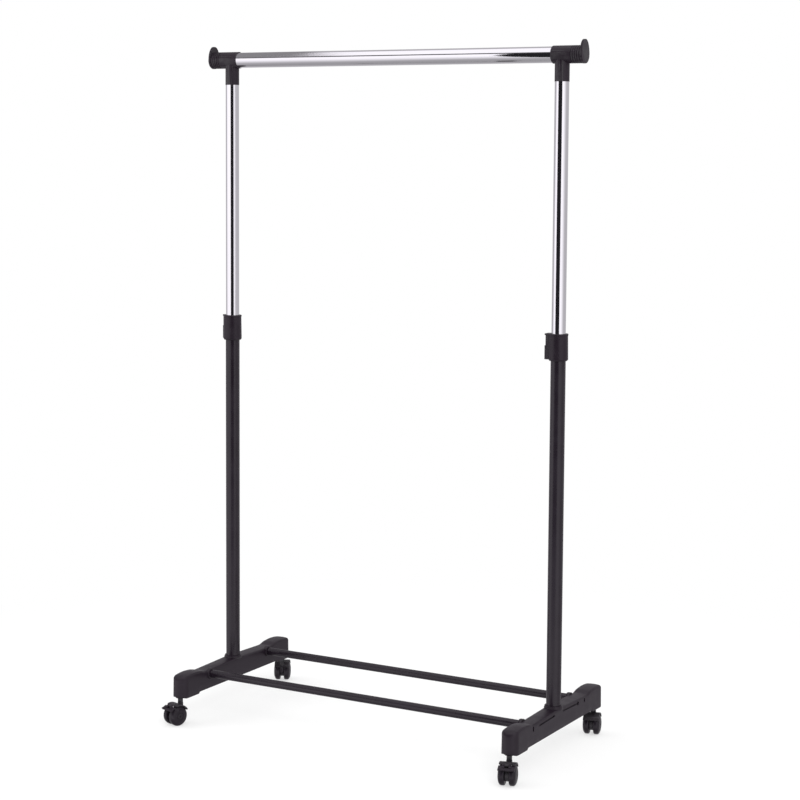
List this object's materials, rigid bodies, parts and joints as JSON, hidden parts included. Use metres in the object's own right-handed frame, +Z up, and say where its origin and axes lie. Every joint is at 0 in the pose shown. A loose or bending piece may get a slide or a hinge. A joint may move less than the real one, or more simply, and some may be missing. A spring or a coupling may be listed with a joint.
{
  "type": "rolling clothes rack",
  "caption": "Rolling clothes rack: telescopic posts on moulded feet with swivel casters, a chrome hanging bar and lower rods.",
  "frame": {"origin": "on the floor, midway between the two posts", "axes": "+X along the hanging bar to the right of someone facing the front, +Y to the rear, +Z up"},
  "size_m": [0.8368, 0.4512, 1.366],
  "materials": {
    "powder_coat": "satin black powder coat",
    "chrome": "bright chrome plate",
    "black_plastic": "fine satin grain",
    "wheel_plastic": "satin moulded nylon",
    "natural_plastic": "natural",
    "black_steel": "black zinc plated",
    "zinc_steel": "zinc plated"
  },
  "bodies": {
    "base": {"button_pins": "black_steel", "button_springs": "zinc_steel", "caster_sockets": "natural_plastic", "front_rod": "powder_coat", "left_collar": "black_plastic", "left_foot": "black_plastic", "left_lower_post": "powder_coat", "post_bolts": "zinc_steel", "post_plugs": "zinc_steel", "post_washers": "zinc_steel", "rear_rod": "powder_coat", "right_collar": "black_plastic", "right_foot": "black_plastic", "right_lower_post": "powder_coat", "rod_screws": "zinc_steel"},
    "upper_frame": {"hanging_bar": "chrome", "left_tee": "black_plastic", "right_tee": "black_plastic", "left_upper_post": "chrome", "right_upper_post": "chrome", "post_glides": "natural_plastic", "tee_screws": "zinc_steel"},
    "left_button": {"left_button": "black_plastic", "left_lock_peg": "zinc_steel"},
    "right_button": {"right_button": "black_plastic", "right_lock_peg": "zinc_steel"},
    "front_left_caster": {"front_left_caster_stem": "black_steel", "front_left_caster_hood": "black_plastic", "front_left_axle": "zinc_steel"},
    "front_left_wheel_a": {"front_left_wheel_a": "wheel_plastic"},
    "front_left_wheel_b": {"front_left_wheel_b": "wheel_plastic"},
    "front_left_pedal": {"front_left_brake_pedal": "black_plastic", "front_left_pedal_pin": "zinc_steel"},
    "front_right_caster": {"front_right_caster_stem": "black_steel", "front_right_caster_hood": "black_plastic", "front_right_axle": "zinc_steel"},
    "front_right_wheel_a": {"front_right_wheel_a": "wheel_plastic"},
    "front_right_wheel_b": {"front_right_wheel_b": "wheel_plastic"},
    "front_right_pedal": {"front_right_brake_pedal": "black_plastic", "front_right_pedal_pin": "zinc_steel"},
    "rear_left_caster": {"rear_left_caster_stem": "black_steel", "rear_left_caster_hood": "black_plastic", "rear_left_axle": "zinc_steel"},
    "rear_left_wheel_a": {"rear_left_wheel_a": "wheel_plastic"},
    "rear_left_wheel_b": {"rear_left_wheel_b": "wheel_plastic"},
    "rear_right_caster": {"rear_right_caster_stem": "black_steel", "rear_right_caster_hood": "black_plastic", "rear_right_axle": "zinc_steel"},
    "rear_right_wheel_a": {"rear_right_wheel_a": "wheel_plastic"},
    "rear_right_wheel_b": {"rear_right_wheel_b": "wheel_plastic"}
  },
  "joints": [
    {"name": "height_slide", "type": "slide", "parent": "base", "child": "upper_frame", "axis": [0, 0, 1], "range_m": [-0.45, 0.15]},
    {"name": "left_button_rock", "type": "hinge", "parent": "base", "child": "left_button", "pos_m": [-0.38853, 0.00855, 0.791], "axis": [0.4384, 0.8988, 0], "range_deg": [0, 8], "stiffness_Nm_per_rad": 0.5, "springref_deg": -8.59},
    {"name": "right_button_rock", "type": "hinge", "parent": "base", "child": "right_button", "pos_m": [0.3515, 0, 0.791], "axis": [0, 1, 0], "range_deg": [0, 8], "stiffness_Nm_per_rad": 0.5, "springref_deg": -8.59},
    {"name": "front_left_swivel", "type": "hinge", "parent": "base", "child": "front_left_caster", "pos_m": [-0.371, -0.188, 0.0535], "axis": [0, 0, 1], "continuous": true},
    {"name": "front_left_wheel_a_roll", "type": "hinge", "parent": "front_left_caster", "child": "front_left_wheel_a", "pos_m": [-0.37502, -0.20036, 0.02], "axis": [0.9511, -0.309, 0], "continuous": true},
    {"name": "front_left_wheel_b_roll", "type": "hinge", "parent": "front_left_caster", "child": "front_left_wheel_b", "pos_m": [-0.37502, -0.20036, 0.02], "axis": [0.9511, -0.309, 0], "continuous": true},
    {"name": "front_left_pedal_press", "type": "hinge", "parent": "front_left_caster", "child": "front_left_pedal", "pos_m": [-0.37844, -0.2109, 0.04084], "axis": [0.9511, -0.309, 0], "range_deg": [0, 12]},
    {"name": "front_right_swivel", "type": "hinge", "parent": "base", "child": "front_right_caster", "pos_m": [0.371, -0.188, 0.0535], "axis": [0, 0, 1], "continuous": true},
    {"name": "front_right_wheel_a_roll", "type": "hinge", "parent": "front_right_caster", "child": "front_right_wheel_a", "pos_m": [0.37458, -0.2005, 0.02], "axis": [0.9613, 0.2756, 0], "continuous": true},
    {"name": "front_right_wheel_b_roll", "type": "hinge", "parent": "front_right_caster", "child": "front_right_wheel_b", "pos_m": [0.37458, -0.2005, 0.02], "axis": [0.9613, 0.2756, 0], "continuous": true},
    {"name": "front_right_pedal_press", "type": "hinge", "parent": "front_right_caster", "child": "front_right_pedal", "pos_m": [0.37764, -0.21115, 0.04084], "axis": [0.9613, 0.2756, 0], "range_deg": [0, 12]},
    {"name": "rear_left_swivel", "type": "hinge", "parent": "base", "child": "rear_left_caster", "pos_m": [-0.371, 0.188, 0.0535], "axis": [0, 0, 1], "continuous": true},
    {"name": "rear_left_wheel_a_roll", "type": "hinge", "parent": "rear_left_caster", "child": "rear_left_wheel_a", "pos_m": [-0.3769, 0.19958, 0.02], "axis": [-0.891, -0.454, 0], "continuous": true},
    {"name": "rear_left_wheel_b_roll", "type": "hinge", "parent": "rear_left_caster", "child": "rear_left_wheel_b", "pos_m": [-0.3769, 0.19958, 0.02], "axis": [-0.891, -0.454, 0], "continuous": true},
    {"name": "rear_right_swivel", "type": "hinge", "parent": "base", "child": "rear_right_caster", "pos_m": [0.371, 0.188, 0.0535], "axis": [0, 0, 1], "continuous": true},
    {"name": "rear_right_wheel_a_roll", "type": "hinge", "parent": "rear_right_caster", "child": "rear_right_wheel_a", "pos_m": [0.37437, 0.17544, 0.02], "axis": [0.9659, 0.2588, 0], "continuous": true},
    {"name": "rear_right_wheel_b_roll", "type": "hinge", "parent": "rear_right_caster", "child": "rear_right_wheel_b", "pos_m": [0.37437, 0.17544, 0.02], "axis": [0.9659, 0.2588, 0], "continuous": true}
  ]
}
